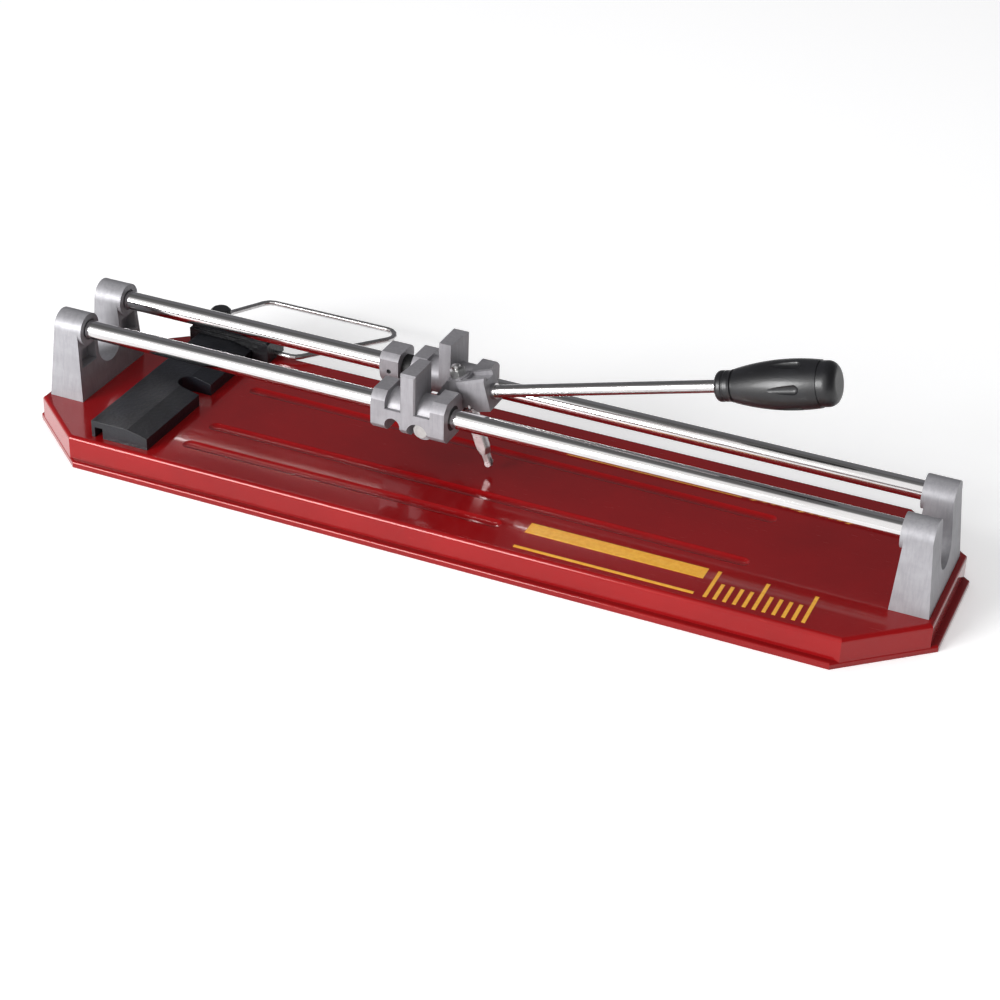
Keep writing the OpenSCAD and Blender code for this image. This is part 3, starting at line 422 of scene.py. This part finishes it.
# Each lamp's name, place, size, power and whether polished pieces mirror it
LAMPS = (
    ("key", (-2.1, -3.7, 1.3), 2.0, 236.0, True),
    ("top", (0.0, 0.3, 2.4), 2.4, 18.0, False),
)
LAMP_AIM = (0.0, 0.0, 0.03)
# The camera: angles in degrees, distances in metres, then its lens and the shift of its frame
VIEW_AROUND, VIEW_ABOVE, VIEW_LEAN = 20.75, 30.65, 2.95
VIEW_REACH, VIEW_SLIDE, VIEW_LIFT = 1.52419, 0.05775, 0.0276
SENSOR_MM, LENS_MM = 36.0, 80.97
SHIFT_X, SHIFT_Y = -0.07074, -0.04261


def studio():
    """A pale floor, a dim sky with one bright softbox, and two soft lights."""
    floor_mesh = bpy.data.meshes.new("floor")
    bm = bmesh.new()
    bmesh.ops.create_grid(bm, x_segments=1, y_segments=1, size=FLOOR_HALF)
    bm.to_mesh(floor_mesh)
    bm.free()
    floor = bpy.data.objects.new("floor", floor_mesh)
    bpy.context.scene.collection.objects.link(floor)
    f = Finish("pale_floor")
    tone = f.blend(f.noise(0.8, detail=2.0), rgb(250, 250, 250), rgb(245, 245, 246))
    floor_mesh.materials.append(f.surface(
        Base_Color=tone, Roughness=0.9, Specular_IOR_Level=0.0,
        Emission_Color=rgb(255, 255, 255), Emission_Strength=FLOOR_GLOW))

    world = bpy.data.worlds.new("studio")
    bpy.context.scene.world = world
    world.use_nodes = True
    tree = world.node_tree
    tree.nodes.clear()
    where = tree.nodes.new("ShaderNodeTexCoord")
    facing = tree.nodes.new("ShaderNodeVectorMath")
    facing.operation = "DOT_PRODUCT"
    facing.inputs[1].default_value = Vector(SOFTBOX).normalized()
    ramp = tree.nodes.new("ShaderNodeValToRGB")
    sky = tree.nodes.new("ShaderNodeBackground")
    out = tree.nodes.new("ShaderNodeOutputWorld")
    tree.links.new(where.outputs["Generated"], facing.inputs[0])
    tree.links.new(facing.outputs["Value"], ramp.inputs[0])
    stops = ramp.color_ramp.elements
    stops[0].position, stops[0].color = 0.0, SKY_SQUARE
    stops[1].position, stops[1].color = 1.0, SKY_MIDDLE
    for place, level in SKY_LEVELS:
        stop = ramp.color_ramp.elements.new(place)
        stop.color = (level, level, level, 1)
    tree.links.new(ramp.outputs[0], sky.inputs["Color"])
    sky.inputs["Strength"].default_value = 1.0
    tree.links.new(sky.outputs[0], out.inputs[0])

    for name, place, size, power, mirrored in LAMPS:
        lamp = bpy.data.lights.new(name, "AREA")
        lamp.size, lamp.energy = size, power
        made = bpy.data.objects.new(name, lamp)
        made.location = place
        made.visible_glossy = mirrored
        aim = Vector(LAMP_AIM) - Vector(place)
        made.rotation_euler = aim.to_track_quat("-Z", "Y").to_euler()
        bpy.context.scene.collection.objects.link(made)


def camera():
    """The camera at its measured place."""
    around, above, lean = (math.radians(v) for v in (VIEW_AROUND, VIEW_ABOVE, VIEW_LEAN))
    back = Vector((math.sin(around) * math.cos(above), -math.cos(around) * math.cos(above),
                   math.sin(above)))
    right = Vector((math.cos(around), math.sin(around), 0.0))
    up = back.cross(right)
    level_right = right * math.cos(lean) + up * math.sin(lean)
    level_up = up * math.cos(lean) - right * math.sin(lean)
    eye = bpy.data.cameras.new("view")
    eye.sensor_width, eye.lens = SENSOR_MM, LENS_MM
    eye.shift_x, eye.shift_y = SHIFT_X, SHIFT_Y
    made = bpy.data.objects.new("view", eye)
    turned = Matrix((level_right, level_up, back)).transposed().to_4x4()
    place = back * VIEW_REACH + level_right * VIEW_SLIDE + level_up * VIEW_LIFT
    made.matrix_world = Matrix.Translation(place) @ turned
    bpy.context.scene.collection.objects.link(made)
    bpy.context.scene.camera = made


studio()
camera()
bpy.context.scene.view_settings.view_transform = "Standard"
